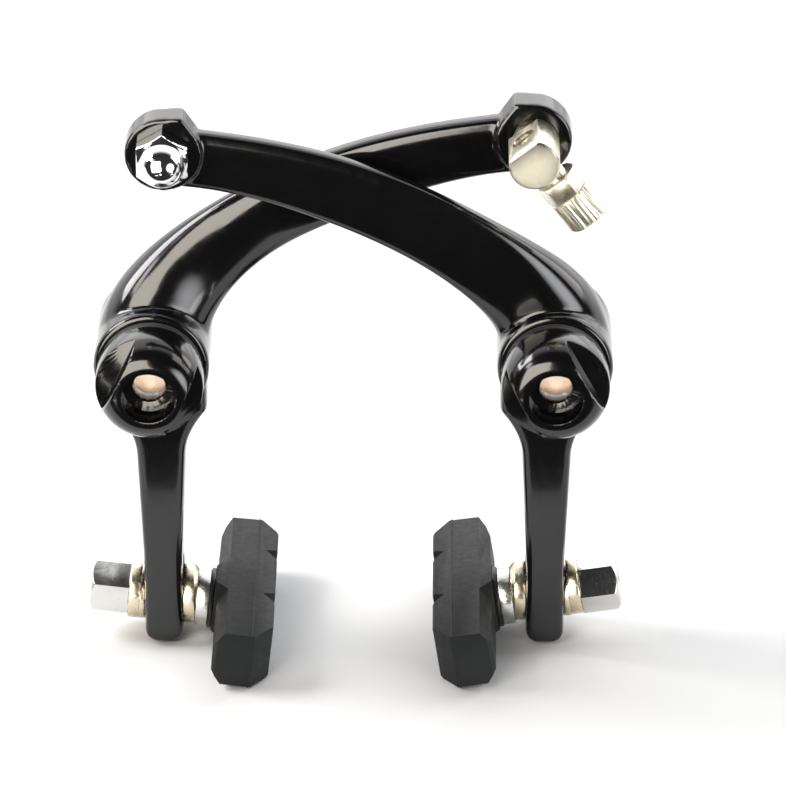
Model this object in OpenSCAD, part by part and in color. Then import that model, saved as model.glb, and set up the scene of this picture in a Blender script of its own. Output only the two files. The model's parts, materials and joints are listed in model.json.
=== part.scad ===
// Bicycle U-brake: two crossed arms that turn on two frame studs, with pads below and a cable stop above.
// Millimetres. +X is right, +Y is away from the viewer, +Z is up.
// The origin is on the surface that the pads stand on, midway between the pivots, level with the pad posts.
// "Reach" values run from the post plane towards the viewer, so a point at reach f has y = -f.

/* [Pivots] */
// Distance between the two frame studs
stud_spacing = 80; // [77:0.5:86]
// Height of the pivots above the surface
pivot_h = 64; // [61:0.5:70]
// Diameter of the frame stud
stud_d = 8; // [7.5:0.1:8.4]
// Wall of the bronze bushing
bushing_wall = 1.45; // [1.2:0.05:1.7]
// Diameter of the bushing's rear flange
bushing_flange_d = 16; // [14:0.5:19]
// Thickness of the bushing's rear flange
bushing_flange_t = 1.5; // [1:0.1:2.5]
// Diameter of the arm's pivot boss
boss_d = 23; // [22:0.25:25]
// Length of the arm's pivot boss
boss_len = 21; // [20:0.5:22.5]

/* [Return spring] */
// Diameter of the spring pocket in the boss
pocket_d = 19.2; // [18.6:0.1:20]
// Depth of the spring pocket
pocket_depth = 13.5; // [12.5:0.25:15.5]
// Diameter of the spring wire
wire_d = 1.5; // [1.2:0.05:1.7]
// Middle diameter of the spring's coil
coil_d = 15.2; // [15:0.05:15.6]
// Turns of the spring's coil
coil_turns = 5; // [3:1:5]
// Length of each spring tang past the coil
tang_len = 3; // [2:0.25:4]

/* [Tension cap] */
// Greatest diameter of the cap
cap_d = 21.4; // [21:0.1:23]
// Distance across the two spanner flats
cap_flats = 13.2; // [13:0.1:15]
// Room between the boss and the cap's flange
cap_gap = 3; // [2:0.25:4]
// Thickness of the round flange behind the flats
cap_flange_t = 5.6; // [5:0.1:6.2]
// Length of the cap from its flange to its front
cap_len = 11; // [10:0.25:12]
// Length of the cap's straight side
cap_side = 4.2; // [3:0.1:5]
// How far the cap's hub reaches into the spring pocket
hub_depth = 2; // [1.5:0.1:2.5]
// Width of the dust seal's ring round the hub
seal_w = 0.85; // [0.6:0.05:1.1]
// Diameter of the bolt hole
bolt_hole_d = 6.5; // [6:0.1:7.2]
// Diameter of the bolt head's counterbore
counterbore_d = 10.6; // [10:0.1:11.4]
// Depth of the bolt head's counterbore
counterbore_depth = 5.4; // [4.5:0.1:6]

/* [Arms] */
// Distance of the front arm's cable boss from the middle
front_boss_x = 37; // [35:0.1:39]
// Distance of the rear arm's cable boss from the middle
rear_boss_x = 35.4; // [34:0.1:38]
// Height of the cable bosses above the pivots
cable_boss_rise = 45.4; // [43:0.1:49]
// Diameter of a cable boss
cable_boss_d = 15.1; // [14.5:0.1:16.5]
// Depth of the front arm's blade
front_blade_t = 5.4; // [5:0.1:6]
// Depth of the rear arm's blade at its tip
rear_blade_t = 6; // [5.5:0.1:7]
// Reach of the front arm's rear face
front_blade_back = 3; // [2.9:0.1:3.5]
// Room between the two blades where they cross
blade_gap = 2.3; // [2:0.1:2.4]
// How far a cable boss stands proud of its blade
cable_boss_proud = 1; // [0.5:0.1:1.2]
// Width of a blade at its tip
blade_tip_w = 11.8; // [11:0.1:13]

/* [Legs] */
// Thickness of a leg at the pad post
leg_t = 7.8; // [7.4:0.1:8.2]
// Thickness of a leg below the flare at its boss
leg_top_t = 9.8; // [9:0.1:11]
// How far each side of the leg flares out at its boss
leg_flare = 4.5; // [3:0.25:5]
// Height of that flare
leg_flare_h = 10.5; // [8:0.5:14]
// Depth of a leg
leg_depth = 14.5; // [13:0.25:16]
// Height of the leg's foot above the surface
leg_clear = 0.4; // [0.3:0.1:1]
// Upward adjustment of the pad in the leg's slot
slot_travel = 4; // [3:0.5:5]

/* [Pads] */
// Length of a pad
pad_len = 51; // [50:0.5:56]
// Height of a pad
pad_h = 12; // [11:0.25:13]
// Thickness of a pad
pad_t = 11.6; // [10.5:0.25:12.5]
// Length of the bevelled ends of a pad
pad_bevel = 5.3; // [3:0.25:7]
// Distance of the mould line from the braking face
mould_line = 4; // [3:0.25:5]
// Depth of the drain grooves
groove_depth = 2.4; // [1.5:0.1:3]
// Downward lean of the left pad post in degrees
left_pad_tilt = 6.5; // [4:0.5:9]
// Downward lean of the right pad post in degrees
right_pad_tilt = 9; // [4:0.5:9]
// Further lean that the washers allow, in degrees
tilt_play = 1; // [0.5:0.25:1.25]
// Diameter of the pad post
post_d = 5.9; // [5.5:0.1:6]

/* [Post hardware] */
// Diameter of the inner domed washer
inner_dome_d = 12; // [11.6:0.1:12.4]
// Straight height of the inner domed washer
inner_dome_h = 2.15; // [2:0.05:2.6]
// Diameter of the cupped spacer washer
spacer_d = 11.6; // [11:0.1:12]
// Thickness of the cupped spacer washer at its rim
spacer_t = 2.6; // [2.4:0.05:3.2]
// Diameter of the black washer on the pad
pad_washer_d = 12.2; // [11:0.1:13]
// Thickness of the black washer on the pad
pad_washer_t = 0.8; // [0.6:0.05:1.2]
// Diameter of the outer cupped washer
outer_cup_d = 11.2; // [11:0.1:11.6]
// Thickness of the outer cupped washer at its rim
outer_cup_t = 2.3; // [2.25:0.05:3]
// Diameter of the outer domed washer
outer_dome_d = 10.2; // [9.8:0.1:10.6]
// Distance across the pad nut's flats
pad_nut_af = 10; // [9:0.25:11]
// Length of the pad nut
pad_nut_len = 7.9; // [6.5:0.2:9]

/* [Cable anchor] */
// Diameter of the anchor bolt
anchor_d = 5.9; // [5:0.1:6.4]
// Diameter of the anchor bolt's head
anchor_head_d = 10; // [9:0.25:11]
// Thickness of the anchor bolt's head
anchor_head_t = 2.6; // [2:0.1:3.5]
// Diameter of the cable hole
cable_hole_d = 2.2; // [1.8:0.1:2.6]
// Diameter of the clamping washer
clamp_washer_d = 11; // [10:0.25:12]
// Thickness of the clamping washer
clamp_washer_t = 1.2; // [1:0.1:1.6]
// Distance across the acorn nut's flats
acorn_af = 10; // [9:0.25:11]
// Height of the acorn nut's hexagon
acorn_hex_h = 4.6; // [3.5:0.1:5.5]

/* [Cable stop] */
// Diameter of the cable stop's carrier
carrier_d = 10; // [9.5:0.1:11]
// Length of the carrier in front of its boss
carrier_len = 12; // [11:0.25:14]
// Distance of the cable axis in front of the boss
cable_axis_out = 5; // [4.8:0.1:6]
// Distance of the carrier's flat from its axis
carrier_flat = 3.5; // [3.2:0.1:4]
// Diameter of the carrier's stem
stem_d = 5.9; // [5:0.1:6.4]
// Downward angle of the barrel
barrel_angle = 52; // [45:1:60]
// Diameter of the barrel's thread
barrel_thread_d = 4.9; // [4.5:0.1:5.2]
// Diameter of the barrel's knob
knob_d = 8.8; // [8.4:0.1:9.6]
// Length of the barrel's knob
knob_len = 7.2; // [6.8:0.1:9]
// Number of flutes round the knob
knob_flutes = 22; // [16:1:28]
// Diameter of the socket for the cable housing
housing_socket_d = 5.1; // [4.8:0.1:5.6]
// Depth of the socket for the cable housing
housing_socket_depth = 6; // [4:0.25:6.5]
// Distance across the lock nut's flats
lock_nut_af = 8; // [7.5:0.25:9]
// Thickness of the lock nut
lock_nut_t = 4; // [3:0.25:4.5]
// Thickness of the washer behind the rear boss
stem_washer_t = 0.9; // [0.7:0.05:1.2]
// Thickness of the stem nut behind the rear boss
stem_nut_t = 4; // [3:0.25:5]

/* [Fits] */
// Radial clearance of a turning fit
fit = 0.05; // [0.03:0.01:0.08]
// Clearance between flat faces that turn on each other
face_gap = 0.1; // [0.08:0.01:0.15]
// Clearance between pieces that pass each other
pass_gap = 0.3; // [0.25:0.05:0.35]

/* [Hidden] */

round_fn = 72;
small_fn = 36;

pivot_x = stud_spacing / 2;
boss_half = boss_len / 2;
boss_edge = 0.6;
bushing_bore_r = stud_d / 2 + fit;
bushing_r = bushing_bore_r + bushing_wall;
bushing_bore_in_arm_r = bushing_r + fit;

// Reaches along a pivot, from the frame side to the front
pocket_floor = boss_half - pocket_depth;
cap_back = boss_half + cap_gap;
cap_front = cap_back + cap_len;
hub_back = boss_half - hub_depth;
hub_r = pocket_d / 2 - pass_gap;
counterbore_floor = cap_front - counterbore_depth;
bolt_wall = 4;
bushing_front = counterbore_floor - bolt_wall - face_gap;

// The return spring's coil lies between the pocket's floor and the cap's hub
coil_back = pocket_floor + pass_gap + wire_d / 2;
coil_front = hub_back - pass_gap - wire_d / 2;
coil_start_angle = -60;
tang_hole_d = wire_d + 2 * pass_gap;
tang_bend_r = 1.2;

// The blades of the arms, as reaches
rear_blade_front = front_blade_back - blade_gap;
front_blade_front = front_blade_back + front_blade_t;
front_boss_face = front_blade_front + cable_boss_proud;
rear_boss_face = rear_blade_front + cable_boss_proud;
rear_boss_back = rear_blade_front - rear_blade_t;
cable_boss_z = pivot_h + cable_boss_rise;
// The blade's middle line meets the cable boss a little below the boss's centre
blade_drop = 1.4;
// Lengths and angle of the middle line's two handles
rise_handle = 20;
run_handle = 35;
run_slope = 3;
blade_root_w = boss_d - 0.4;
// Widths of the blade from pivot to tip, as shares of the way from tip width to root width
width_steps = [1, 0.9, 0.69, 0.49, 0.35, 0.27, 0.22, 0.16, 0.07, 0, 0];
// Depth of each face from pivot to tip, as shares of the way from blade depth to boss depth
face_steps = [1, 1, 0.68, 0.3, 0.06, 0, 0, 0, 0, 0, 0];
blade_root_half = boss_half - 2;
blade_rings = 40;
ring_points = 24;

// Legs, with heights above the surface
leg_x = pivot_x - 1.4;
foot_round = 2.5;
foot_depth_share = 0.45;
leg_flare_z = pivot_h - boss_d / 2 - leg_flare_h;
max_tilt = max(left_pad_tilt, right_pad_tilt) + tilt_play;
post_r = post_d / 2;
leg_seat = leg_t / 2 + fit;
inner_sphere_r = norm([leg_seat + inner_dome_h, inner_dome_d / 2]);
inner_cup_r = inner_sphere_r + 0.12;
spacer_rim = sqrt(pow(inner_cup_r, 2) - pow(spacer_d / 2, 2));
spacer_face = spacer_rim + spacer_t;
pad_washer_face = spacer_face + fit + pad_washer_t;
pad_boss_face = pad_washer_face + fit;
pad_boss_proud = 0.6;
pad_rear = pad_boss_face + pad_boss_proud;
pad_face = pad_rear + pad_t;
// Height of the moulded line above the pad's faces, and the bevel round the braking face
mould_lip = 0.25;
pad_edge = 0.4;
// A post's height puts the lower edge of its pad's braking face on the surface
function post_height(tilt) = (pad_face - pad_edge) * sin(tilt) + (pad_h / 2 - mould_lip) * cos(tilt);
low_post_z = post_height(min(left_pad_tilt, right_pad_tilt));
high_post_z = post_height(max(left_pad_tilt, right_pad_tilt)) + slot_travel;
// A leg is parallel where the washers slide, and thickens above them
leg_taper_z = high_post_z + inner_dome_d / 2 + fit;
slot_w = post_d + 2 * pass_gap;
slot_over = post_r / cos(max_tilt) + leg_t / 2 * tan(max_tilt) + pass_gap;

// Outer washers: the cup clears the leg at the greatest lean
outer_cup_rim = (leg_seat + fit + outer_cup_d / 2 * sin(max_tilt)) / cos(max_tilt);
outer_cup_r = norm([outer_cup_rim, outer_cup_d / 2]);
outer_sphere_r = outer_cup_r - 0.12;
outer_cup_face = outer_cup_rim + outer_cup_t;
nut_seat = outer_cup_face + fit;
nut_end = nut_seat + pad_nut_len;
post_end = nut_end - 1;
dome_hole_r = inner_sphere_r * sin(max_tilt) + post_r + 0.15;
outer_dome_hole_r = outer_sphere_r * sin(max_tilt) + post_r + 0.15;

// The pad's back is narrower than its mould line
pad_back_h = pad_h * 0.5;
pad_back_slope = 2;
pad_boss_r = pad_washer_d / 2 + 0.8;
post_head_r = 4.6;
post_head_t = 2;
post_head_at = pad_rear + 2.5;
groove_y = [-10.2, 8.6];
groove_w = 4;

// Cable anchor, as reaches
anchor_r = anchor_d / 2;
clamp_face = front_blade_back - face_gap - clamp_washer_t;
anchor_head_face = clamp_face - cable_hole_d;
cable_hole_at = clamp_face - cable_hole_d / 2;
acorn_seat = front_boss_face + face_gap;
acorn_dome_r = acorn_af / 2 - 0.6;
acorn_top = acorn_seat + acorn_hex_h + acorn_dome_r;
anchor_tip = acorn_seat + acorn_hex_h + 1;

// Cable stop, as reaches and as distances from the stem's axis
stem_r = stem_d / 2;
carrier_back = rear_boss_face + pass_gap;
carrier_front = carrier_back + carrier_len;
cable_axis = rear_boss_face + cable_axis_out;
stem_recess_r = 4.5;
stem_recess_depth = 1;
stem_washer_back = rear_boss_back - face_gap - stem_washer_t;
stem_nut_back = stem_washer_back - face_gap - stem_nut_t;
stem_tip = stem_nut_back + 0.6;
stem_washer_d = 11;
stem_nut_af = 10;
barrel_tail = -2.6;
lock_nut_at = carrier_d / 2 + 1.9;
knob_at = lock_nut_at + lock_nut_t + face_gap;
knob_end = knob_at + knob_len;
knob_round = 1.3;

function mix(a, b, s) = a + (b - a) * s;
function ease(s) = s * s * (3 - 2 * s);
// Value of a list of evenly spaced steps at t from 0 to 1, on a smooth curve through them
function at(list, i) = list[min(max(i, 0), len(list) - 1)];
function bend(p, q, r, s, u) =
    q + 0.5 * u * (r - p + u * (2 * p - 5 * q + 4 * r - s + u * (3 * (q - r) + s - p)));
function along(list, t) =
    let (k = min(floor(t * (len(list) - 1)), len(list) - 2), u = t * (len(list) - 1) - k)
    bend(at(list, k - 1), at(list, k), at(list, k + 1), at(list, k + 2), u);
function bezier(p, t) =
    pow(1 - t, 3) * p[0] + 3 * t * pow(1 - t, 2) * p[1] + 3 * t * t * (1 - t) * p[2] + pow(t, 3) * p[3];
function slope(p, t) =
    pow(1 - t, 2) * (p[1] - p[0]) + 2 * t * (1 - t) * (p[2] - p[1]) + t * t * (p[3] - p[2]);
// A rounded box outline: power 2 is an ellipse, and higher powers are squarer
function power_sine(a, power) = sign(sin(a)) * pow(abs(sin(a)), 2 / power);
function power_cosine(a, power) = sign(cos(a)) * pow(abs(cos(a)), 2 / power);
function arc(centre, rx, ry, from, to, steps) =
    [for (i = [0 : steps]) let (a = mix(from, to, i / steps)) centre + [rx * cos(a), ry * sin(a)]];

// Closed skin over rings that have the same number of points
module skin(rings) {
    n = len(rings[0]);
    last = len(rings) - 1;
    points = [for (ring = rings) for (p = ring) p];
    sides = [
        for (i = [0 : last - 1]) for (j = [0 : n - 1]) let (k = (j + 1) % n)
            each [
                [i * n + j, (i + 1) * n + k, i * n + k],
                [i * n + j, (i + 1) * n + j, (i + 1) * n + k]
            ]
    ];
    start = [for (j = [0 : n - 1]) j];
    end = [for (j = [n - 1 : -1 : 0]) last * n + j];
    polyhedron(points = points, faces = concat(sides, [start, end]), convexity = 6);
}

// A profile of [radius, reach] points turned about an axis that points at the viewer
module turned(profile) {
    rotate([90, 0, 0]) rotate_extrude($fn = round_fn) polygon(profile);
}

module drilled(d, from, to) {
    rotate([90, 0, 0]) translate([0, 0, from]) cylinder(d = d, h = to - from, $fn = round_fn);
}

module left_side() {
    mirror([1, 0, 0]) children();
}

module at_pivot() {
    translate([pivot_x, 0, pivot_h]) children();
}

// Local +X runs from the leg's middle straight to the rim
module at_seat(tilt) {
    translate([leg_x, 0, post_height(tilt)]) mirror([1, 0, 0]) children();
}

// Local +X runs from the leg's middle along the leaning post
module at_post(tilt) {
    translate([leg_x, 0, post_height(tilt)]) rotate([0, -tilt, 0]) mirror([1, 0, 0]) children();
}

// A profile of [radius, distance] points turned about the post
module turned_on_post(profile) {
    rotate([0, 90, 0]) rotate_extrude($fn = round_fn) polygon(profile);
}

// A cable boss sits opposite its arm's own pivot
module at_cable_boss(boss_x) {
    translate([-boss_x, 0, cable_boss_z]) children();
}

module hexagon(af) {
    circle(r = af / 2 / cos(30), $fn = 6);
}

// Middle line of a blade, from the right-hand pivot to the left-hand cable boss
function blade_line(boss_x) =
    let (start = [pivot_x, pivot_h], tip = [-boss_x, cable_boss_z - blade_drop])
    [start, start + [0, rise_handle], tip + run_handle * [cos(run_slope), -sin(run_slope)], tip];

function blade_ring(line, t, front, back, front_power, back_power) =
    let (
        c = bezier(line, t),
        d = slope(line, t),
        n = [-d[1], d[0]] / norm(d),
        w = mix(blade_tip_w, blade_root_w, along(width_steps, t)) / 2,
        s = along(face_steps, t),
        f = mix(front, blade_root_half, s),
        b = mix(back, -blade_root_half, s),
        middle = (f + b) / 2,
        half = (f - b) / 2
    )
    [for (j = [0 : ring_points - 1])
        let (
            a = 360 * j / ring_points,
            power = sin(a) > 0 ? front_power : back_power,
            across = w * power_cosine(a, power),
            reach = middle + half * power_sine(a, power)
        )
        [c[0] + n[0] * across, -reach, c[1] + n[1] * across]];

module blade(boss_x, front, back, front_power, back_power) {
    line = blade_line(boss_x);
    skin([for (i = [0 : blade_rings])
        blade_ring(line, i / blade_rings, front, back, front_power, back_power)]);
}

// Half thickness of a leg at height z: a rounded foot, a slight taper and a flare at the boss
function leg_half(z) =
    let (
        taper = min(max((z - leg_taper_z) / (leg_flare_z - leg_taper_z), 0), 1),
        flare = min(max((z - leg_flare_z) / leg_flare_h, 0), 1),
        foot = min(max(z - leg_clear, 0), foot_round)
    )
    mix(leg_t, leg_top_t, taper) / 2 + leg_flare * pow(flare, 2)
        - foot_round + sqrt(pow(foot_round, 2) - pow(foot_round - foot, 2));

function leg_ring(z) =
    let (
        half = leg_half(z),
        deep = leg_depth / 2 - foot_depth_share * (leg_t / 2 - min(half, leg_t / 2))
    )
    [for (j = [0 : ring_points - 1])
        let (a = 360 * j / ring_points)
        [leg_x + half * power_cosine(a, 5), deep * power_sine(a, 5), z]];

module leg() {
    foot_steps = [for (i = [0 : 4]) leg_clear + foot_round * (1 - cos(90 * i / 4))];
    taper_steps = [for (i = [0 : 2]) mix(leg_taper_z, leg_flare_z, i / 2)];
    flare_steps = [for (i = [1 : 7]) leg_flare_z + leg_flare_h * i / 7];
    skin([for (z = concat(foot_steps, taper_steps, flare_steps, [pivot_h - 2])) leg_ring(z)]);
}

module pivot_boss() {
    r = boss_d / 2;
    turned([
        [0, -boss_half], [r - boss_edge, -boss_half], [r, boss_edge - boss_half],
        [r, boss_half - boss_edge], [r - boss_edge, boss_half], [0, boss_half]
    ]);
}

// A cable boss is round, with a raised corner on the side towards its blade
module cable_boss(from, to) {
    r = cable_boss_d / 2;
    rotate([90, 0, 0]) translate([0, 0, from]) linear_extrude(to - from) hull() {
        circle(r = r, $fn = round_fn);
        translate([r * 0.45, r * 0.9]) circle(r = 0.9, $fn = small_fn);
    }
}

// Room for the post from its lowest place to its highest, at any lean
module pad_slot() {
    low = low_post_z - slot_over + slot_w / 2;
    high = high_post_z + slot_over - slot_w / 2;
    translate([leg_x - leg_t, 0, 0]) rotate([0, 90, 0]) {
        for (z = [low, high])
            translate([-z, 0, 0]) cylinder(d = slot_w, h = 2 * leg_t, $fn = small_fn);
        translate([-high, -slot_w / 2, 0]) cube([high - low, slot_w, 2 * leg_t]);
    }
}

function coil_point_angle(s) = coil_start_angle + 360 * coil_turns * s;

// Both arms share this form; the blade's reaches set which one passes in front
module arm(boss_x, front, back, boss_face, front_power, hole_d) {
    difference() {
        union() {
            at_pivot() pivot_boss();
            blade(boss_x, front, back, front_power, 2.6);
            leg();
            at_cable_boss(boss_x) cable_boss(back, boss_face);
        }
        at_pivot() {
            drilled(pocket_d, pocket_floor, boss_half + 1);
            drilled(2 * bushing_bore_in_arm_r, -boss_half - 1, pocket_floor + 1);
            rotate([0, -coil_start_angle, 0]) translate([coil_d / 2, 0, 0])
                drilled(tang_hole_d, pocket_floor - tang_len - pass_gap, pocket_floor + 1);
        }
        pad_slot();
        at_cable_boss(boss_x) drilled(hole_d, back - 1, boss_face + 1);
    }
}

module front_arm() {
    color([0.03, 0.03, 0.035])
        arm(front_boss_x, front_blade_front, front_blade_back, front_boss_face, 5, anchor_d + 4 * fit);
}

module rear_arm() {
    color([0.03, 0.03, 0.035]) left_side() difference() {
        arm(rear_boss_x, rear_blade_front, rear_boss_back, rear_boss_face, 2.6, stem_d + 4 * fit);
        at_cable_boss(rear_boss_x)
            drilled(2 * stem_recess_r, rear_boss_face - stem_recess_depth, rear_boss_face + 1);
    }
}

module pivot_bushing() {
    color([0.72, 0.5, 0.28]) at_pivot() {
        flange_front = -boss_half - face_gap;
        flange_back = flange_front - bushing_flange_t;
        turned([
            [bushing_bore_r, flange_back], [bushing_flange_d / 2, flange_back],
            [bushing_flange_d / 2, flange_front], [bushing_r, flange_front],
            [bushing_r, bushing_front], [bushing_bore_r, bushing_front]
        ]);
    }
}

// Ring of the spring's wire at angle a and reach f, where the wire climbs at the given angle
function wire_ring(a, f, climb) =
    [for (j = [0 : 7])
        let (
            b = -45 * j,
            out = coil_d / 2 + wire_d / 2 * cos(b),
            side = wire_d / 2 * sin(b)
        )
        [
            out * cos(a) + side * sin(climb) * sin(a),
            -f - side * cos(climb),
            out * sin(a) - side * sin(climb) * cos(a)
        ]];

// A coil whose ends bend into straight tangs, one into the arm and one into the cap
module return_spring() {
    steps = 14 * coil_turns;
    rise = (coil_front - coil_back) / coil_turns;
    climb = atan(rise / (PI * coil_d));
    first = coil_point_angle(0);
    final = coil_point_angle(1);
    function turn(u) = tang_bend_r * (1 - cos(u)) / (PI * coil_d) * 360;
    bend_steps = [for (i = [0 : 4]) (90 - climb) * i / 4];
    lead = turn(90 - climb);
    rings = concat(
        [wire_ring(first, coil_back - wire_d / 2 - tang_len, 90)],
        [for (u = bend_steps) wire_ring(first + turn(u), coil_back - tang_bend_r * (1 - sin(u)), 90 - u)],
        [for (i = [1 : steps - 1])
            let (s = i / steps)
            wire_ring(mix(first + lead, final - lead, s), mix(coil_back, coil_front, s), climb)],
        [for (i = [4 : -1 : 0])
            let (u = bend_steps[i])
            wire_ring(final - turn(u), coil_front + tang_bend_r * (1 - sin(u)), 90 - u)],
        [wire_ring(final, coil_front + wire_d / 2 + tang_len, 90)]
    );
    color([0.55, 0.56, 0.58]) at_pivot() skin(rings);
}

module tension_cap(flat_angle) {
    r = cap_d / 2;
    lip_r = counterbore_d / 2 + 0.7;
    edge = 0.4;
    bolt_floor = counterbore_floor - bolt_wall;
    profile = concat(
        [
            [bushing_bore_in_arm_r, hub_back], [hub_r, hub_back], [hub_r, cap_back],
            [r - edge, cap_back], [r, cap_back + edge]
        ],
        arc([lip_r, cap_back + cap_side], r - lip_r, cap_len - cap_side, 0, 90, 12),
        [
            [counterbore_d / 2, cap_front], [counterbore_d / 2, counterbore_floor],
            [bolt_hole_d / 2, counterbore_floor], [bolt_hole_d / 2, bolt_floor],
            [bushing_bore_in_arm_r, bolt_floor]
        ]
    );
    color([0.03, 0.03, 0.035]) at_pivot() difference() {
        turned(profile);
        rotate([0, -flat_angle, 0]) for (turn = [0, 180]) rotate([0, turn, 0])
            translate([cap_flats / 2, -cap_front - 1, -cap_d])
                cube([cap_d, cap_len - cap_flange_t + 1, 2 * cap_d]);
        rotate([0, -coil_point_angle(1), 0]) translate([coil_d / 2, 0, 0])
            drilled(tang_hole_d, hub_back - 1, coil_front + wire_d / 2 + tang_len + pass_gap);
    }
}

module dust_seal() {
    bore_r = hub_r + fit;
    color([0.06, 0.06, 0.06]) at_pivot() turned([
        [bore_r, boss_half + pass_gap], [bore_r + seal_w, boss_half + pass_gap],
        [bore_r + seal_w, cap_back - fit], [bore_r, cap_back - fit]
    ]);
}

// Outline of a pad seen from above: the near end (-Y) has a square back corner and the far end a round one
function pad_plan() =
    let (
        half = pad_len / 2,
        corner = 2,
        face_half = half - pad_bevel,
        edge = 0.5
    )
    concat(
        [
            [pad_rear, -half + 0.8], [pad_rear + 0.8, -half], [pad_face - mould_line - edge, -half],
            [pad_face - mould_line + edge, -half], [pad_face, -face_half]
        ],
        [for (y = groove_y) each [
            [pad_face, y], [pad_face - groove_depth, y + groove_w * 0.9], [pad_face, y + groove_w]
        ]],
        [
            [pad_face, face_half], [pad_face - mould_line + edge, half],
            [pad_face - mould_line - edge, half], [pad_rear + corner, half - 0.2],
            [pad_rear + 0.7, half - 0.75 * corner], [pad_rear, half - 2 * corner]
        ]
    );

// Section of a pad across its length
function pad_section() =
    let (
        line_half = pad_h / 2,
        half = line_half - mould_lip,
        low = pad_back_h / 2,
        line = pad_face - mould_line
    )
    [
        [pad_rear, -low], [pad_rear + pad_back_slope, -half], [line - mould_lip, -half],
        [line, -line_half], [line + mould_lip, -half], [pad_face - pad_edge, -half],
        [pad_face, pad_edge - half], [pad_face, half - pad_edge], [pad_face - pad_edge, half],
        [line + mould_lip, half], [line, line_half], [line - mould_lip, half],
        [pad_rear + pad_back_slope, half], [pad_rear, low]
    ];

module brake_pad(tilt) {
    color([0.13, 0.13, 0.135]) at_post(tilt) difference() {
        union() {
            intersection() {
                translate([0, 0, -pad_h]) linear_extrude(2 * pad_h) polygon(pad_plan());
                translate([0, pad_len, 0]) rotate([90, 0, 0])
                    linear_extrude(2 * pad_len) polygon(pad_section());
            }
            intersection() {
                turned_on_post([
                    [0, pad_boss_face], [pad_boss_r - 0.3, pad_boss_face],
                    [pad_boss_r, pad_boss_face + 0.3], [pad_boss_r + 1.5, pad_rear + 2], [0, pad_rear + 2]
                ]);
                translate([0, -pad_len / 2, mould_lip - pad_h / 2])
                    cube([pad_face, pad_len, pad_h - 2 * mould_lip]);
            }
        }
        turned_on_post([
            [0, pad_boss_face - 1], [post_r + fit, pad_boss_face - 1], [post_r + fit, post_head_at - fit],
            [post_head_r + fit, post_head_at - fit], [post_head_r + fit, post_head_at + post_head_t + fit],
            [0, post_head_at + post_head_t + fit]
        ]);
    }
}

// Threaded post with the head that the rubber is moulded round
module pad_post(tilt) {
    color([0.75, 0.75, 0.74]) at_post(tilt) turned_on_post([
        [0, -post_end], [post_r - 0.5, -post_end], [post_r, 0.5 - post_end], [post_r, post_head_at],
        [post_head_r, post_head_at], [post_head_r, post_head_at + post_head_t],
        [0, post_head_at + post_head_t]
    ]);
}

// A washer with one face on a sphere about the leg's middle; it lies flat on the leg
module dome_washer(d, hole_r, sphere_r, direction) {
    intersection() {
        sphere(r = sphere_r, $fn = round_fn);
        turned_on_post([
            [hole_r, direction * leg_seat], [d / 2, direction * leg_seat],
            [d / 2, direction * sphere_r], [hole_r, direction * sphere_r]
        ]);
    }
}

// The washer that rides on a dome washer and leans with the post
module cup_washer(d, sphere_r, rim, face, direction) {
    difference() {
        turned_on_post([
            [post_r + fit, direction * rim], [d / 2, direction * rim],
            [d / 2, direction * (face - 0.2)], [d / 2 - 0.2, direction * face],
            [post_r + fit, direction * face]
        ]);
        sphere(r = sphere_r, $fn = round_fn);
    }
}

module inner_dome_washer(tilt) {
    color([0.72, 0.62, 0.4]) at_seat(tilt)
        dome_washer(inner_dome_d, dome_hole_r, inner_sphere_r, 1);
}

module spacer_washer(tilt) {
    color([0.75, 0.76, 0.78]) at_post(tilt)
        cup_washer(spacer_d, inner_cup_r, spacer_rim, spacer_face, 1);
}

module pad_washer(tilt) {
    color([0.05, 0.05, 0.05]) at_post(tilt) turned_on_post([
        [post_r + fit, spacer_face + fit], [pad_washer_d / 2, spacer_face + fit],
        [pad_washer_d / 2, pad_washer_face], [post_r + fit, pad_washer_face]
    ]);
}

module outer_dome_washer(tilt) {
    color([0.72, 0.62, 0.4]) at_seat(tilt)
        dome_washer(outer_dome_d, outer_dome_hole_r, outer_sphere_r, -1);
}

module outer_cup_washer(tilt) {
    color([0.72, 0.62, 0.4]) at_post(tilt)
        cup_washer(outer_cup_d, outer_cup_r, outer_cup_rim, outer_cup_face, -1);
}

// A hexagon nut with a bevelled outer end
module pad_nut(tilt, turn) {
    corner = pad_nut_af / 2 / cos(30);
    color([0.72, 0.72, 0.7]) at_post(tilt) difference() {
        intersection() {
            translate([-nut_end, 0, 0]) rotate([0, 90, 0]) rotate([0, 0, turn])
                linear_extrude(pad_nut_len) hexagon(pad_nut_af);
            turned_on_post([
                [0, -nut_end], [corner - 1.1, -nut_end], [corner + 0.1, 1.0 - nut_end],
                [corner + 0.1, -nut_seat], [0, -nut_seat]
            ]);
        }
        turned_on_post([
            [0, -nut_end - 1], [post_r + 0.5 + fit, -nut_end - 1], [post_r + 0.5 + fit, -nut_end],
            [post_r + fit, 0.5 - nut_end], [post_r + fit, 1], [0, 1]
        ]);
    }
}

// The cable runs through the bolt, between its head and the clamping washer
module cable_anchor_bolt() {
    back = anchor_head_face - anchor_head_t;
    head_r = anchor_head_d / 2;
    color([0.7, 0.71, 0.73]) at_cable_boss(front_boss_x) difference() {
        turned([
            [0, back], [head_r - 0.5, back], [head_r, back + 0.5], [head_r, anchor_head_face],
            [anchor_r, anchor_head_face], [anchor_r, anchor_tip - 0.5],
            [anchor_r - 0.5, anchor_tip], [0, anchor_tip]
        ]);
        translate([-anchor_head_d, -cable_hole_at, 0]) rotate([0, 90, 0])
            cylinder(d = cable_hole_d, h = 2 * anchor_head_d, $fn = small_fn);
    }
}

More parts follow.
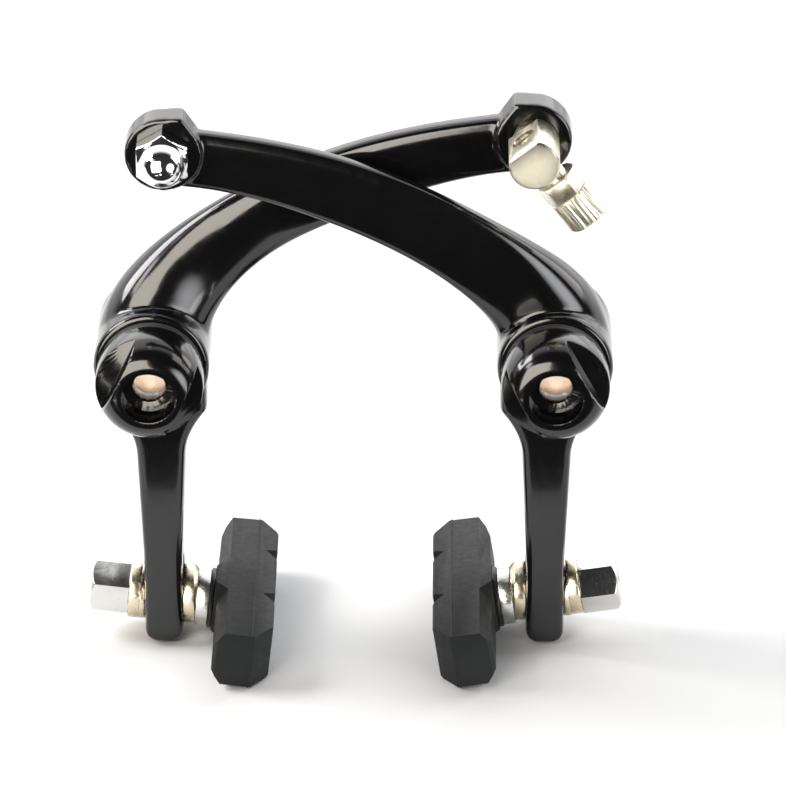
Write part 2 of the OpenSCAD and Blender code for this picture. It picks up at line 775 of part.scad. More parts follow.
module clamp_washer() {
    back = clamp_face;
    front = clamp_face + clamp_washer_t;
    color([0.7, 0.71, 0.73]) at_cable_boss(front_boss_x) turned([
        [anchor_r + fit, back], [clamp_washer_d / 2, back], [clamp_washer_d / 2, front],
        [anchor_r + fit, front]
    ]);
}

module acorn_nut() {
    corner = acorn_af / 2 / cos(30);
    shoulder = acorn_seat + acorn_hex_h;
    color([0.78, 0.79, 0.81]) at_cable_boss(front_boss_x) difference() {
        union() {
            intersection() {
                rotate([90, 0, 0]) rotate([0, 0, 30]) translate([0, 0, acorn_seat])
                    linear_extrude(acorn_hex_h) hexagon(acorn_af);
                turned([
                    [0, acorn_seat], [corner + 0.1, acorn_seat], [corner + 0.1, shoulder - 1.1],
                    [acorn_dome_r, shoulder], [0, shoulder]
                ]);
            }
            turned(concat([[0, shoulder - 0.5], [acorn_dome_r, shoulder - 0.5]],
                arc([0, shoulder], acorn_dome_r, acorn_dome_r, 0, 90, 12)));
        }
        drilled(2 * (anchor_r + fit), acorn_seat - 1, anchor_tip + 0.4);
    }
}

// The stop is built about its own boss and then mirrored to the right-hand side
module at_stop() {
    mirror([1, 0, 0]) at_cable_boss(rear_boss_x) mirror([1, 0, 0]) children();
}

// Local +Z runs down the cable's axis to the housing
module at_barrel() {
    at_stop() translate([0, -cable_axis, 0]) rotate([0, 90 + barrel_angle, 0]) children();
}

module cable_stop_carrier() {
    r = carrier_d / 2;
    edge = 0.4;
    neck_back = rear_boss_face - stem_recess_depth + pass_gap;
    neck_r = stem_recess_r - pass_gap;
    color([0.76, 0.75, 0.68]) difference() {
        at_stop() difference() {
            turned([
                [0, stem_tip], [stem_r - 0.4, stem_tip], [stem_r, stem_tip + 0.4], [stem_r, neck_back],
                [neck_r, neck_back], [neck_r, carrier_back], [r, carrier_back],
                [r, carrier_front - edge], [r - edge, carrier_front], [0, carrier_front]
            ]);
            rotate([0, barrel_angle, 0])
                translate([-carrier_flat - carrier_d, -carrier_front - 1, -carrier_d])
                cube([carrier_d, carrier_len + 1, 2 * carrier_d]);
        }
        at_barrel() translate([0, 0, -carrier_d])
            cylinder(d = barrel_thread_d + 2 * fit, h = 2 * carrier_d, $fn = small_fn);
    }
}

module adjuster_barrel() {
    r = knob_d / 2;
    shank_r = barrel_thread_d / 2;
    flute = 0.28;
    color([0.8, 0.79, 0.73]) at_barrel() difference() {
        union() {
            translate([0, 0, barrel_tail])
                cylinder(r = shank_r, h = knob_at - barrel_tail + 1, $fn = small_fn);
            intersection() {
                translate([0, 0, knob_at]) linear_extrude(knob_len) polygon([
                    for (i = [0 : knob_flutes - 1]) let (a = 360 / knob_flutes)
                        for (p = [[0, r - flute], [0.22, r], [0.78, r]])
                            p[1] * [cos(a * (i + p[0])), sin(a * (i + p[0]))]
                ]);
                rotate_extrude($fn = round_fn) polygon(concat(
                    [[0, knob_at], [r - 0.3, knob_at], [r + 0.1, knob_at + 0.4]],
                    arc([r + 0.1 - knob_round, knob_end - knob_round], knob_round, knob_round, 0, 90, 6),
                    [[0, knob_end]]
                ));
            }
        }
        translate([0, 0, barrel_tail - 1]) cylinder(d = cable_hole_d, h = knob_end, $fn = small_fn);
        translate([0, 0, knob_end - housing_socket_depth])
            cylinder(d = housing_socket_d, h = housing_socket_depth + 1, $fn = small_fn);
    }
}

module lock_nut() {
    corner = lock_nut_af / 2 / cos(30);
    color([0.76, 0.74, 0.62]) at_barrel() difference() {
        intersection() {
            translate([0, 0, lock_nut_at]) linear_extrude(lock_nut_t) hexagon(lock_nut_af);
            rotate_extrude($fn = round_fn) polygon([
                [0, lock_nut_at], [corner - 0.5, lock_nut_at], [corner + 0.1, lock_nut_at + 0.5],
                [corner + 0.1, lock_nut_at + lock_nut_t], [0, lock_nut_at + lock_nut_t]
            ]);
        }
        translate([0, 0, lock_nut_at - 1])
            cylinder(d = barrel_thread_d + 2 * fit, h = lock_nut_t + 2, $fn = small_fn);
    }
}

module stem_washer() {
    color([0.7, 0.71, 0.73]) at_stop() turned([
        [stem_r + fit, stem_washer_back], [stem_washer_d / 2, stem_washer_back],
        [stem_washer_d / 2, stem_washer_back + stem_washer_t],
        [stem_r + fit, stem_washer_back + stem_washer_t]
    ]);
}

module stem_nut() {
    corner = stem_nut_af / 2 / cos(30);
    front = stem_nut_back + stem_nut_t;
    color([0.72, 0.72, 0.7]) at_stop() difference() {
        intersection() {
            rotate([90, 0, 0]) translate([0, 0, stem_nut_back])
                linear_extrude(stem_nut_t) hexagon(stem_nut_af);
            turned([
                [0, stem_nut_back], [corner - 0.7, stem_nut_back], [corner + 0.1, stem_nut_back + 0.6],
                [corner + 0.1, front], [0, front]
            ]);
        }
        drilled(2 * (stem_r + fit), stem_nut_back - 1, front + 1);
    }
}

rear_arm();
front_arm();
left_side() pivot_bushing();  // left_pivot_bushing
pivot_bushing();  // right_pivot_bushing
left_side() return_spring();  // left_return_spring
return_spring();  // right_return_spring
left_side() tension_cap(25);  // left_tension_cap
tension_cap(28);  // right_tension_cap
left_side() dust_seal();  // left_dust_seal
dust_seal();  // right_dust_seal
left_side() brake_pad(left_pad_tilt);  // left_brake_pad
brake_pad(right_pad_tilt);  // right_brake_pad
left_side() pad_post(left_pad_tilt);  // left_pad_post
pad_post(right_pad_tilt);  // right_pad_post
left_side() inner_dome_washer(left_pad_tilt);  // left_inner_dome_washer
inner_dome_washer(right_pad_tilt);  // right_inner_dome_washer
left_side() spacer_washer(left_pad_tilt);  // left_spacer_washer
spacer_washer(right_pad_tilt);  // right_spacer_washer
left_side() pad_washer(left_pad_tilt);  // left_pad_washer
pad_washer(right_pad_tilt);  // right_pad_washer
left_side() outer_dome_washer(left_pad_tilt);  // left_outer_dome_washer
outer_dome_washer(right_pad_tilt);  // right_outer_dome_washer
left_side() outer_cup_washer(left_pad_tilt);  // left_outer_cup_washer
outer_cup_washer(right_pad_tilt);  // right_outer_cup_washer
left_side() pad_nut(left_pad_tilt, 0);  // left_pad_nut
pad_nut(right_pad_tilt, 30);  // right_pad_nut
cable_anchor_bolt();
clamp_washer();
acorn_nut();
cable_stop_carrier();
adjuster_barrel();
lock_nut();
stem_washer();
stem_nut();
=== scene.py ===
# Looks for the U-brake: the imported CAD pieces, with smooth enamelled skins over the two forged arms.
import json
import math

import bmesh
import bpy
import numpy as np
from mathutils import Matrix, Quaternion, Vector

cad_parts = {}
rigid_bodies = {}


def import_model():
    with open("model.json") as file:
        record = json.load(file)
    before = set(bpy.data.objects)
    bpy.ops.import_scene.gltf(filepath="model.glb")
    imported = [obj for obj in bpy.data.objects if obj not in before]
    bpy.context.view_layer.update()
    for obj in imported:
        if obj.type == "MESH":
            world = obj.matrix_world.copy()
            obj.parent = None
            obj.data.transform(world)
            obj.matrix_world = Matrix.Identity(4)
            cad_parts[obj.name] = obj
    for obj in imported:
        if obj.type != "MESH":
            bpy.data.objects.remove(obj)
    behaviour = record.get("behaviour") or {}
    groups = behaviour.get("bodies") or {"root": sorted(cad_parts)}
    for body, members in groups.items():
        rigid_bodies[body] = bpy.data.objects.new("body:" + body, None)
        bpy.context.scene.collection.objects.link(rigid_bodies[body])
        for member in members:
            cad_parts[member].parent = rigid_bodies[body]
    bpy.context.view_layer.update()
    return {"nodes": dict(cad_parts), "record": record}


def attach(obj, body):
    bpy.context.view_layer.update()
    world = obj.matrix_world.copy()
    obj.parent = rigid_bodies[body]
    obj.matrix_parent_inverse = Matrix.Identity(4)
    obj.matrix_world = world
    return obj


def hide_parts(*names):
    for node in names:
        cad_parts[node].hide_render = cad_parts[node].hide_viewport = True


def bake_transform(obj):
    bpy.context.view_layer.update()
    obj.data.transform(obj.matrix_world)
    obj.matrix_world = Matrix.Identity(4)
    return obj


for old in list(bpy.data.objects):
    bpy.data.objects.remove(old)

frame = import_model()
scene = bpy.context.scene
MM = 0.001

# Materials
NOISE_MIDDLE = (0.3, 0.7)
GRAIN_RATIO = 9
GRAIN_HEIGHT = 0.2
COAT_ROUGHNESS = 0.06

# Light tone, dark tone, metallic, range of roughness, scale of the changes, strength of the grain
LOOKS = {
    "black_enamel": ((0.006, 0.006, 0.0065), (0.004, 0.004, 0.0045), 0, (0.12, 0.18), 60, 0.02),
    "bronze": ((0.95, 0.86, 0.77), (0.92, 0.82, 0.73), 1, (0.20, 0.28), 180, 0.04),
    "spring_steel": ((0.55, 0.56, 0.58), (0.45, 0.46, 0.48), 1, (0.25, 0.4), 180, 0.1),
    "seal_rubber": ((0.03, 0.03, 0.03), (0.02, 0.02, 0.02), 0, (0.55, 0.7), 200, 0.2),
    "pad_rubber": ((0.024, 0.025, 0.026), (0.017, 0.018, 0.019), 0, (0.50, 0.62), 90, 0.25),
    "black_washer": ((0.02, 0.02, 0.02), (0.012, 0.012, 0.012), 0, (0.3, 0.4), 200, 0.1),
    "yellow_zinc": ((0.80, 0.72, 0.54), (0.74, 0.66, 0.49), 1, (0.22, 0.30), 160, 0.02),
    "clear_zinc": ((0.80, 0.79, 0.76), (0.74, 0.74, 0.72), 1, (0.20, 0.28), 160, 0.02),
    "pale_zinc": ((0.84, 0.79, 0.65), (0.79, 0.74, 0.60), 1, (0.27, 0.35), 120, 0.02),
    "bright_plate": ((0.88, 0.89, 0.90), (0.82, 0.83, 0.85), 1, (0.06, 0.12), 120, 0.02),
}
EXTRAS = {"black_enamel": {"coat": 0.35}, "pad_rubber": {"specular": 0.2}}


def mixed_color(nodes, links, factor, a, b):
    node = nodes.new("ShaderNodeMix")
    node.data_type = "RGBA"
    node.inputs["A"].default_value = (*a, 1)
    node.inputs["B"].default_value = (*b, 1)
    links.new(factor, node.inputs["Factor"])
    return node.outputs["Result"]


def ranged(nodes, links, value, source, result, interpolation="LINEAR"):
    """The value moved from the source's range to the result's."""
    node = nodes.new("ShaderNodeMapRange")
    node.interpolation_type = interpolation
    for socket, number in zip(("From Min", "From Max", "To Min", "To Max"), (*source, *result)):
        node.inputs[socket].default_value = number
    links.new(value, node.inputs["Value"])
    return node.outputs["Result"]


def noise(nodes, links, place, scale, detail):
    node = nodes.new("ShaderNodeTexNoise")
    node.inputs["Scale"].default_value = scale
    node.inputs["Detail"].default_value = detail
    links.new(place, node.inputs["Vector"])
    return node.outputs["Fac"]


def finish_material(name, light, dark, metallic, rough, scale, bump, coat=0.0, specular=0.5):
    """A surface with slight changes of tone and gloss from place to place, and a fine grain."""
    material = bpy.data.materials.new(name)
    material.use_nodes = True
    nodes, links = material.node_tree.nodes, material.node_tree.links
    shader = nodes["Principled BSDF"]
    place = nodes.new("ShaderNodeTexCoord").outputs["Object"]
    broad = noise(nodes, links, place, scale, 4)
    fine = noise(nodes, links, place, scale * GRAIN_RATIO, 6)
    tone = ranged(nodes, links, broad, NOISE_MIDDLE, (0, 1))
    links.new(mixed_color(nodes, links, tone, dark, light), shader.inputs["Base Color"])
    links.new(ranged(nodes, links, fine, NOISE_MIDDLE, rough), shader.inputs["Roughness"])
    shader.inputs["Metallic"].default_value = metallic
    shader.inputs["Specular IOR Level"].default_value = specular
    shader.inputs["Coat Weight"].default_value = coat
    shader.inputs["Coat Roughness"].default_value = COAT_ROUGHNESS
    grain = nodes.new("ShaderNodeBump")
    grain.inputs["Strength"].default_value = bump
    grain.inputs["Distance"].default_value = GRAIN_HEIGHT * MM
    links.new(fine, grain.inputs["Height"])
    links.new(grain.outputs["Normal"], shader.inputs["Normal"])
    return material


FINISH = {name: finish_material(name, *look, **EXTRAS.get(name, {})) for name, look in LOOKS.items()}


def paint(obj, slot_name):
    obj.data.materials.clear()
    obj.data.materials.append(FINISH[slot_name])


def smooth_faces(obj):
    obj.data.polygons.foreach_set("use_smooth", [True] * len(obj.data.polygons))


def soften_edges(obj, width, angle):
    """Rounded edges, so many millimetres wide, where faces meet at more than the angle in degrees."""
    edges = obj.modifiers.new("edges", "BEVEL")
    edges.width = width * MM
    edges.segments = 2
    edges.limit_method = "ANGLE"
    edges.angle_limit = math.radians(angle)
    edges.harden_normals = True


# Mesh helpers
def mesh_object(name, verts, faces):
    data = bpy.data.meshes.new(name)
    data.from_pydata([tuple(v) for v in verts], [], [tuple(f) for f in faces])
    bm = bmesh.new()
    bm.from_mesh(data)
    bmesh.ops.recalc_face_normals(bm, faces=bm.faces)
    bm.to_mesh(data)
    bm.free()
    obj = bpy.data.objects.new(name, data)
    scene.collection.objects.link(obj)
    return obj


def skin(name, rings):
    """A closed skin over rings of equal length, given in millimetres."""
    n, verts, faces = len(rings[0]), [], []
    for ring in rings:
        verts += [Vector(p) * MM for p in ring]
    for i in range(len(rings) - 1):
        for j in range(n):
            k = (j + 1) % n
            faces.append((i * n + j, i * n + k, (i + 1) * n + k, (i + 1) * n + j))
    faces.append(list(range(n)))
    faces.append([(len(rings) - 1) * n + j for j in range(n)])
    return mesh_object(name, verts, faces)


def turned(name, centre, profile, n=128):
    """A profile of (radius, reach) pairs turned about an axis that points at the viewer."""
    turns = [2 * math.pi * j / n for j in range(n)]
    return skin(name, [
        [(centre[0] + r * math.cos(a), -reach, centre[1] + r * math.sin(a)) for a in turns]
        for r, reach in profile])


def drill(name, centre, r, start, end):
    return turned(name, centre, [(r, start), (r, end)], 96)


def arc(centre, r, start, end, n):
    return [(centre[0] + r * math.cos(a), centre[1] + r * math.sin(a)) for a in np.linspace(start, end, n)]


def join(name, parts):
    bm = bmesh.new()
    for part in parts:
        bm.from_mesh(part.data)
    data = bpy.data.meshes.new(name)
    bm.to_mesh(data)
    bm.free()
    for part in parts:
        bpy.data.objects.remove(part)
    obj = bpy.data.objects.new(name, data)
    scene.collection.objects.link(obj)
    return obj


def apply_modifiers(obj):
    bpy.context.view_layer.update()
    graph = bpy.context.evaluated_depsgraph_get()
    data = bpy.data.meshes.new_from_object(obj.evaluated_get(graph))
    obj.modifiers.clear()
    old_data = obj.data
    obj.data = data
    bpy.data.meshes.remove(old_data)


def cut(obj, cutters):
    for cutter in cutters:
        modifier = obj.modifiers.new("cut", "BOOLEAN")
        modifier.operation = "DIFFERENCE"
        modifier.solver = "EXACT"
        modifier.object = cutter
    apply_modifiers(obj)
    for cutter in cutters:
        bpy.data.objects.remove(cutter)


# The forged arms, in millimetres, both shaped with their pivot on the right
PIVOT_X, PIVOT_Z = 40.0, 64.0
BOSS_R, BOSS_HALF, BOSS_EDGE = 11.5, 10.5, 0.6
POCKET_R, POCKET_FLOOR, BORE_R = 9.6, -3.0, 5.55
CABLE_Z, CABLE_R, CABLE_HOLE_R, RECESS_R = 109.4, 7.55, 3.05, 4.5
CORNER_AT, CORNER_R = (0.45, 0.9), 0.9
PASS_THROUGH = 1
OVERLAP = 0.1

# The blade's middle line is a curve from the pivot to the tip, with these lengths and angle for its handles
TIP_DROP, RISE_HANDLE, RUN_HANDLE, RUN_SLOPE = 1.4, 20, 35, 3
BLADE_TIP_W, BLADE_ROOT_W, BLADE_ROOT_HALF = 11.8, 22.6, 8.5
TIP_POWER, BACK_POWER = 5.0, 2.6
# How much of the root's width and depth the blade still has, in equal steps from the pivot to the tip
WIDTHS = [1, 0.9, 0.69, 0.49, 0.35, 0.27, 0.22, 0.16, 0.07, 0, 0]
DEPTHS = [1, 1, 0.68, 0.3, 0.06, 0, 0, 0, 0, 0, 0]

LEG_X, LEG_T, LEG_TOP_T, LEG_DEPTH, LEG_FLARE, LEG_FLARE_H = 38.6, 7.8, 9.8, 14.5, 4.5, 10.5
LEG_CLEAR, FOOT_ROUND, FOOT_DEPTH_SHARE, LEG_POWER = 0.4, 2.5, 0.45, 8
LEG_FLARE_Z = PIVOT_Z - BOSS_R - LEG_FLARE_H
LEG_INTO_BOSS = 2

LEFT_TILT, RIGHT_TILT, MAX_TILT = 6.5, 9, 10
PAD_FACE, PAD_EDGE, PAD_HALF_H = 22.153, 0.4, 5.75
SLOT_W, SLOT_TRAVEL, SLOT_HALF_LEN = 6.5, 4, 9
POST_R, PASS_GAP, DOME_R = 2.95, 0.3, 6.05


def mix(a, b, share):
    return a + (b - a) * share


def between(value, low, high):
    return min(max(value, low), high)


def along(values, t):
    """A smooth curve through the values, at the share t of its length."""
    last = len(values) - 1
    k = min(int(t * last), last - 1)
    u = t * last - k
    p, q, r, s = (values[between(i, 0, last)] for i in range(k - 1, k + 3))
    return q + 0.5 * u * (r - p + u * (2 * p - 5 * q + 4 * r - s + u * (3 * (q - r) + s - p)))


def powered(value, power):
    return math.copysign(abs(value) ** (2 / power), value)


def bezier(line, t):
    degree = len(line) - 1
    return sum(math.comb(degree, k) * (1 - t) ** (degree - k) * t ** k * line[k] for k in range(degree + 1))


def blade_ring(place, normal, width, front, back, front_power, lean, n=112):
    """A blade's section, with the front's height leaning across it."""
    ring = []
    for j in range(n):
        a = 2 * math.pi * j / n
        power = front_power if math.sin(a) > 0 else BACK_POWER
        across = width * powered(math.cos(a), power)
        reach = (front + back) / 2 + (front - back) / 2 * powered(math.sin(a), power)
        reach -= lean * across * max(math.sin(a), 0)
        ring.append((place[0] + normal[0] * across, -reach, place[1] + normal[1] * across))
    return ring


def blade(boss_x, front, back, pivot_power, change, lean, steps=150):
    """A bowed blade, with a front that goes from round and leaning to flat over the change's two shares."""
    start = np.array([PIVOT_X, PIVOT_Z])
    tip = np.array([-boss_x, CABLE_Z - TIP_DROP])
    slope = math.radians(RUN_SLOPE)
    run = RUN_HANDLE * np.array([math.cos(slope), -math.sin(slope)])
    line = [start, start + [0, RISE_HANDLE], tip + run, tip]
    strides = [b - a for a, b in zip(line, line[1:])]
    rings = []
    for i in range(steps + 1):
        t = i / steps
        stride = bezier(strides, t)
        normal = np.array([-stride[1], stride[0]]) / np.linalg.norm(stride)
        width = mix(BLADE_TIP_W, BLADE_ROOT_W, along(WIDTHS, t)) / 2
        root = along(DEPTHS, t)
        flat = between((t - change[0]) / (change[1] - change[0]), 0, 1)
        flat = flat * flat * (3 - 2 * flat)
        rings.append(blade_ring(
            bezier(line, t), normal, width,
            mix(front, BLADE_ROOT_HALF, root), mix(back, -BLADE_ROOT_HALF, root),
            mix(pivot_power, TIP_POWER, flat), lean * (1 - flat)))
    return skin("blade", rings)


def post_height(tilt):
    """The height of a pad post in its leg, with the pad's lower edge on the floor."""
    a = math.radians(tilt)
    return (PAD_FACE - PAD_EDGE) * math.sin(a) + PAD_HALF_H * math.cos(a)


LOW_POST = post_height(LEFT_TILT)
HIGH_POST = post_height(RIGHT_TILT) + SLOT_TRAVEL
TAPER_Z = HIGH_POST + DOME_R


def leg_ring(z, n=96):
    taper = between((z - TAPER_Z) / (LEG_FLARE_Z - TAPER_Z), 0, 1)
    flare = between((z - LEG_FLARE_Z) / LEG_FLARE_H, 0, 1)
    foot = between(z - LEG_CLEAR, 0, FOOT_ROUND)
    half = mix(LEG_T, LEG_TOP_T, taper) / 2 + LEG_FLARE * flare ** 2
    half += math.sqrt(FOOT_ROUND ** 2 - (FOOT_ROUND - foot) ** 2) - FOOT_ROUND
    deep = LEG_DEPTH / 2 - FOOT_DEPTH_SHARE * (LEG_T / 2 - min(half, LEG_T / 2))
    turns = [2 * math.pi * j / n for j in range(n)]
    return [
        (LEG_X + half * powered(math.cos(a), LEG_POWER), deep * powered(math.sin(a), LEG_POWER), z)
        for a in turns]


def leg(foot_steps=10, taper_steps=20, flare_steps=24):
    foot_top = LEG_CLEAR + FOOT_ROUND
    heights = [
        LEG_CLEAR + FOOT_ROUND * (1 - math.cos(math.pi / 2 * i / foot_steps)) for i in range(foot_steps + 1)]
    heights += [mix(foot_top, LEG_FLARE_Z, i / taper_steps) for i in range(1, taper_steps + 1)]
    heights += [LEG_FLARE_Z + LEG_FLARE_H * i / flare_steps for i in range(1, flare_steps + 1)]
    heights.append(PIVOT_Z - LEG_INTO_BOSS)
    return skin("leg", [leg_ring(z) for z in heights])


def cable_boss(boss_x, back, face):
    """A round boss with a raised corner towards the blade."""
    corner = (CABLE_R * CORNER_AT[0], CABLE_R * CORNER_AT[1])
    points = arc((0, 0), CABLE_R, 0, 2 * math.pi, 121)[:-1]
    points += arc(corner, CORNER_R, 0, 2 * math.pi, 25)[:-1]
    bm = bmesh.new()
    for x, y in points:
        bm.verts.new((x, y, 0))
    bmesh.ops.convex_hull(bm, input=bm.verts)
    rim = sorted((v for v in bm.verts if v.link_edges), key=lambda v: math.atan2(v.co.y, v.co.x))
    outline = [(v.co.x, v.co.y) for v in rim]
    bm.free()
    return skin("cable_boss", [
        [(x - boss_x, -reach, y + CABLE_Z) for x, y in outline] for reach in (back, face)])


def slot():
    """A cutter for the slot in which a pad post slides and leans."""
    lean = math.radians(MAX_TILT)
    over = POST_R / math.cos(lean) + LEG_T / 2 * math.tan(lean) + PASS_GAP
    r = SLOT_W / 2
    points = arc((0, HIGH_POST + over - r), r, 0, math.pi, 25)
    points += arc((0, LOW_POST - over + r), r, math.pi, 2 * math.pi, 25)
    ends = (LEG_X - SLOT_HALF_LEN, LEG_X + SLOT_HALF_LEN)
    return skin("slot", [[(x, y, z) for y, z in points] for x in ends])


def pivot_boss():
    inner_r, inner_half = BOSS_R - BOSS_EDGE, BOSS_HALF - BOSS_EDGE
    return turned("boss", (PIVOT_X, PIVOT_Z), [
        (inner_r, -BOSS_HALF), (BOSS_R, -inner_half), (BOSS_R, inner_half), (inner_r, BOSS_HALF)])


def arm(name, boss_x, front, back, boss_face, pivot_power, change, lean=0.0, mirror=False, recess=0.0):
    """One arm as a single smooth skin; the rear arm is mirrored to put its pivot on the left."""
    body = join(name, [
        pivot_boss(), blade(boss_x, front, back, pivot_power, change, lean), leg(),
        cable_boss(boss_x, back, boss_face)])
    voxel = body.modifiers.new("voxel", "REMESH")
    voxel.mode = "VOXEL"
    voxel.voxel_size = 0.36 * MM
    soften = body.modifiers.new("soften", "SMOOTH")
    soften.factor = 0.5
    soften.iterations = 12
    apply_modifiers(body)
    pivot, boss_at = (PIVOT_X, PIVOT_Z), (-boss_x, CABLE_Z)
    past_face = boss_face + PASS_THROUGH
    cutters = [
        drill("pocket", pivot, POCKET_R, POCKET_FLOOR, BOSS_HALF + PASS_THROUGH),
        drill("bore", pivot, BORE_R, -BOSS_HALF - PASS_THROUGH, POCKET_FLOOR + OVERLAP),
        slot(),
        drill("hole", boss_at, CABLE_HOLE_R, back - PASS_THROUGH, past_face)]
    if recess:
        cutters.append(drill("recess", boss_at, RECESS_R, boss_face - recess, past_face))
    cut(body, cutters)
    if mirror:
        body.data.transform(Matrix.Scale(-1, 4, (1, 0, 0)))
        body.data.flip_normals()
    return body


arms = {
    "front_arm": arm("front_arm_skin", 37.0, 8.4, 3.0, 9.4, 2.7, (0.18, 0.48)),
    "rear_arm": arm(
        "rear_arm_skin", 35.4, 0.7, -5.3, 1.7, 2.15, (0.45, 0.65), lean=0.10, mirror=True, recess=1.0),
}
for node, obj in arms.items():
    obj.data.shade_smooth()
    soften_edges(obj, 0.15, 50)
    paint(obj, "black_enamel")
    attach(obj, node)
    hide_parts(node)

# CAD pieces
slots = {s["node"]: s["material_slot"] for s in frame["record"]["subparts"]}
WELD_WITHIN = 0.002
OTHER_EDGE = 0.12
EDGES = {
    "brake_pad": 0.35, "tension_cap": 0.3, "pad_nut": 0.2, "acorn_nut": 0.2, "cable_stop_carrier": 0.25,
    "lock_nut": 0.2, "adjuster_barrel": 0.08, "washer": 0.15, "bushing": 0.15}

# A copy of each spring, baked in place and not joined to any body, stands in for it between the frame's side
# and the cap that holds its front end
for side, x in (("left", -PIVOT_X), ("right", PIVOT_X)):
    name = side + "_return_spring"
    coil = bpy.data.objects.new(side + "_spring_coil", frame["nodes"][name].data.copy())
    scene.collection.objects.link(coil)
    paint(coil, slots[name])
    smooth_faces(coil)
    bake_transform(coil)
    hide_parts(name)

for name, obj in frame["nodes"].items():
    if name in arms or "spring" in name:
        continue
    paint(obj, slots[name])
    smooth_faces(obj)
    weld = obj.modifiers.new("weld", "WELD")
    weld.merge_threshold = WELD_WITHIN * MM
    soften_edges(obj, next((width for key, width in EDGES.items() if key in name), OTHER_EDGE), 25)

# Camera
TARGET = (7.8, 0, 53.6)
CAMERA_AZIMUTH, CAMERA_ELEVATION, CAMERA_DISTANCE = 0.5, 26, 1.2
LENS, SENSOR = 274.5, 36

az, el = math.radians(CAMERA_AZIMUTH), math.radians(CAMERA_ELEVATION)
back = Vector((math.sin(az) * math.cos(el), -math.cos(az) * math.cos(el), math.sin(el)))
camera = bpy.data.objects.new("camera", bpy.data.cameras.new("camera"))
scene.collection.objects.link(camera)
camera.data.lens = LENS
camera.data.sensor_width = SENSOR
camera.data.clip_start = 0.05
camera.data.clip_end = 20
camera.rotation_mode = "QUATERNION"
camera.location = Vector(TARGET) * MM + back * CAMERA_DISTANCE
camera.rotation_quaternion = (-back).to_track_quat("-Z", "Y")
scene.camera = camera

# Floor, in metres
# It ends just below the picture, so that the arms' front faces reflect the dark room past it
FLOOR_NEAR, FLOOR_FAR, FLOOR_HALF_W, FLOOR_Z = -0.077, 1.223, 0.9, -0.0002
PAPER_TONE = 0.92


def white_paper():
    material = bpy.data.materials.new("white_paper")
    material.use_nodes = True
    shader = material.node_tree.nodes["Principled BSDF"]
    shader.inputs["Base Color"].default_value = (PAPER_TONE, PAPER_TONE, PAPER_TONE, 1)
    shader.inputs["Roughness"].default_value = 0.9
    shader.inputs["Specular IOR Level"].default_value = 0.1
    return material


floor = mesh_object("floor", [
    (-FLOOR_HALF_W, FLOOR_NEAR, FLOOR_Z), (FLOOR_HALF_W, FLOOR_NEAR, FLOOR_Z),
    (FLOOR_HALF_W, FLOOR_FAR, FLOOR_Z), (-FLOOR_HALF_W, FLOOR_FAR, FLOOR_Z)], [(0, 1, 2, 3)])
floor.data.materials.append(white_paper())

# Lights, in metres and watts
CARD_DISTANCE = 0.9
CARD_CENTRE = (0, 0, 0.08)


def area(name, place, aim, size, power, color=(1, 1, 1), glossy=True):
    light = bpy.data.lights.new(name, "AREA")
    light.shape = "RECTANGLE"
    light.size, light.size_y = size
    light.energy = power
    light.color = color
    obj = bpy.data.objects.new(name, light)
    scene.collection.objects.link(obj)
    obj.location = place
    obj.rotation_mode = "QUATERNION"
    obj.rotation_quaternion = (Vector(aim) - Vector(place)).to_track_quat("-Z", "Y")
    obj.visible_glossy = glossy
    return obj


def card(name, azimuth, elevation, spread_az, spread_el, radiance, color, roll=0):
    """A bright card that only shows in reflections; azimuth 0 is behind the object, 180 at the viewer."""
    a, e = math.radians(azimuth), math.radians(elevation)
    centre = Vector(CARD_CENTRE)
    toward = Vector((math.sin(a) * math.cos(e), math.cos(a) * math.cos(e), math.sin(e)))
    place = centre + CARD_DISTANCE * toward
    size = [2 * CARD_DISTANCE * math.tan(math.radians(v) / 2) for v in (spread_az, spread_el)]
    obj = area(name, place, centre, size, radiance * math.pi * size[0] * size[1], color)
    obj.rotation_quaternion = obj.rotation_quaternion @ Quaternion((0, 0, 1), math.radians(roll))
    obj.visible_diffuse = False
    return obj


def light_only(light, pieces):
    shown = bpy.data.collections.new("shown_to_" + light.name)
    for piece in pieces:
        shown.objects.link(piece)
    light.light_linking.receiver_collection = shown


area("key", (-0.62, 0.10, 0.50), (0, 0, 0.05), (0.32, 0.40), 5.0, (1.0, 0.99, 0.97))
area("fill", (-0.40, -0.66, 0.55), (0, 0, 0.09), (0.50, 0.42), 3.6, (1.0, 0.96, 0.90), glossy=False)
area("right_fill", (0.75, 0.45, 0.60), (0.15, 0.05, 0), (0.50, 0.50), 2.2, glossy=False)

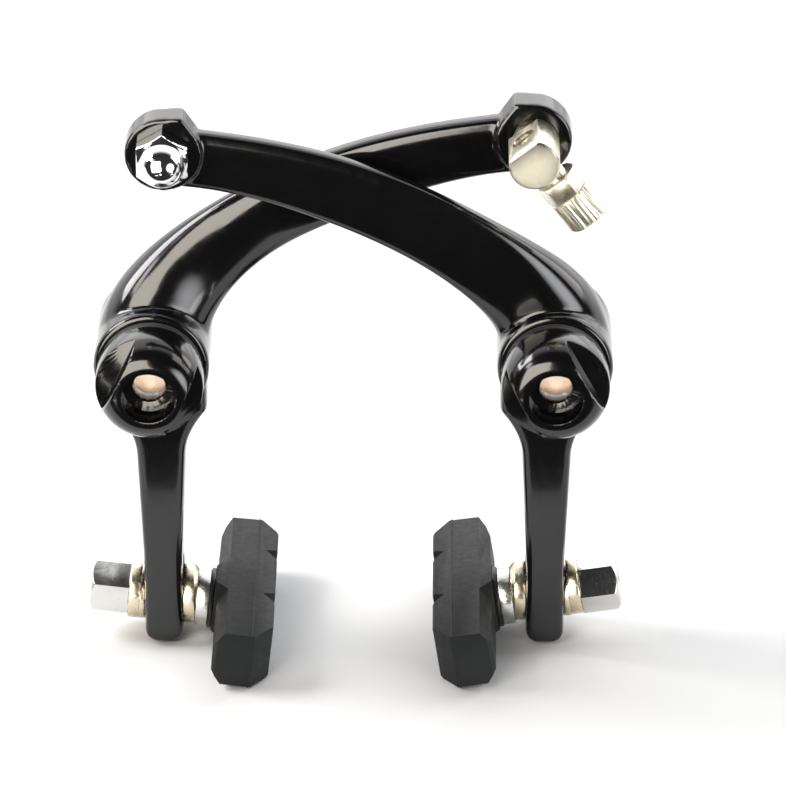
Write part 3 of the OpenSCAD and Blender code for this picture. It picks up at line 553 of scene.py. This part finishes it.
# The cream card leaves out the pads and the cable stop, which has a dimmer card of its own
pieces = [*arms.values(), *frame["nodes"].values()]
carriers = [piece for piece in pieces if "carrier" in piece.name]
others = [piece for piece in pieces if "pad" not in piece.name and "carrier" not in piece.name]
light_only(card("cream_card", -151, 15, 48, 52, 8.0, (1.0, 0.94, 0.83), 14), others)
light_only(card("pale_card", 180, -20, 34, 34, 1.3, (1.0, 0.97, 0.90)), carriers)
card("left_card", -112, 36, 12, 12, 8.0, (1.0, 1.0, 1.0))
card("side_card", 75, 30, 40, 40, 2.6, (1.0, 0.94, 0.89))
card("back_card", 0, 28, 70, 30, 1.1, (1.0, 0.96, 0.95))
card("low_card", 128, -14, 8, 8, 5.0, (1.0, 0.99, 0.97))
for azimuth in (-155, 125):
    card("leg_card", azimuth, -27, 16, 1.6, 5.0, (1.0, 0.94, 0.84))

# The room, which is plain white to the camera
ROOM_TURNS_LIGHT, ROOM_LEVELS = (-0.05, 0.35), (0.03, 1.35)
GLOW_TOWARD, GLOW_SPREAD, GLOW_LEVELS = (0.74, -0.67, 0.08), (0.92, 1.0), (0, 6.5)
ROOM_COLOR = (0.97, 0.98, 1.0, 1)


def room_world():
    """To the object, white behind it and dark on the viewer's side, with a soft glow low on the right."""
    world = bpy.data.worlds.new("world")
    world.use_nodes = True
    nodes, links = world.node_tree.nodes, world.node_tree.links
    nodes.clear()
    toward = nodes.new("ShaderNodeTexCoord").outputs["Generated"]
    parts = nodes.new("ShaderNodeSeparateXYZ")
    links.new(toward, parts.inputs["Vector"])
    depth = ranged(nodes, links, parts.outputs["Y"], ROOM_TURNS_LIGHT, ROOM_LEVELS, "SMOOTHSTEP")
    glow_side = nodes.new("ShaderNodeVectorMath")
    glow_side.operation = "DOT_PRODUCT"
    glow_side.inputs[1].default_value = GLOW_TOWARD
    links.new(toward, glow_side.inputs[0])
    glow = ranged(nodes, links, glow_side.outputs["Value"], GLOW_SPREAD, GLOW_LEVELS, "SMOOTHSTEP")
    level = nodes.new("ShaderNodeMath")
    level.operation = "ADD"
    links.new(depth, level.inputs[0])
    links.new(glow, level.inputs[1])
    around = nodes.new("ShaderNodeBackground")
    around.inputs["Color"].default_value = ROOM_COLOR
    links.new(level.outputs["Value"], around.inputs["Strength"])
    seen = nodes.new("ShaderNodeBackground")
    seen.inputs["Color"].default_value = (1, 1, 1, 1)
    seen.inputs["Strength"].default_value = 1.0
    choose = nodes.new("ShaderNodeMixShader")
    links.new(nodes.new("ShaderNodeLightPath").outputs["Is Camera Ray"], choose.inputs["Fac"])
    links.new(around.outputs["Background"], choose.inputs[1])
    links.new(seen.outputs["Background"], choose.inputs[2])
    output = nodes.new("ShaderNodeOutputWorld")
    links.new(choose.outputs["Shader"], output.inputs["Surface"])
    return world


scene.world = room_world()
scene.view_settings.view_transform = "Standard"
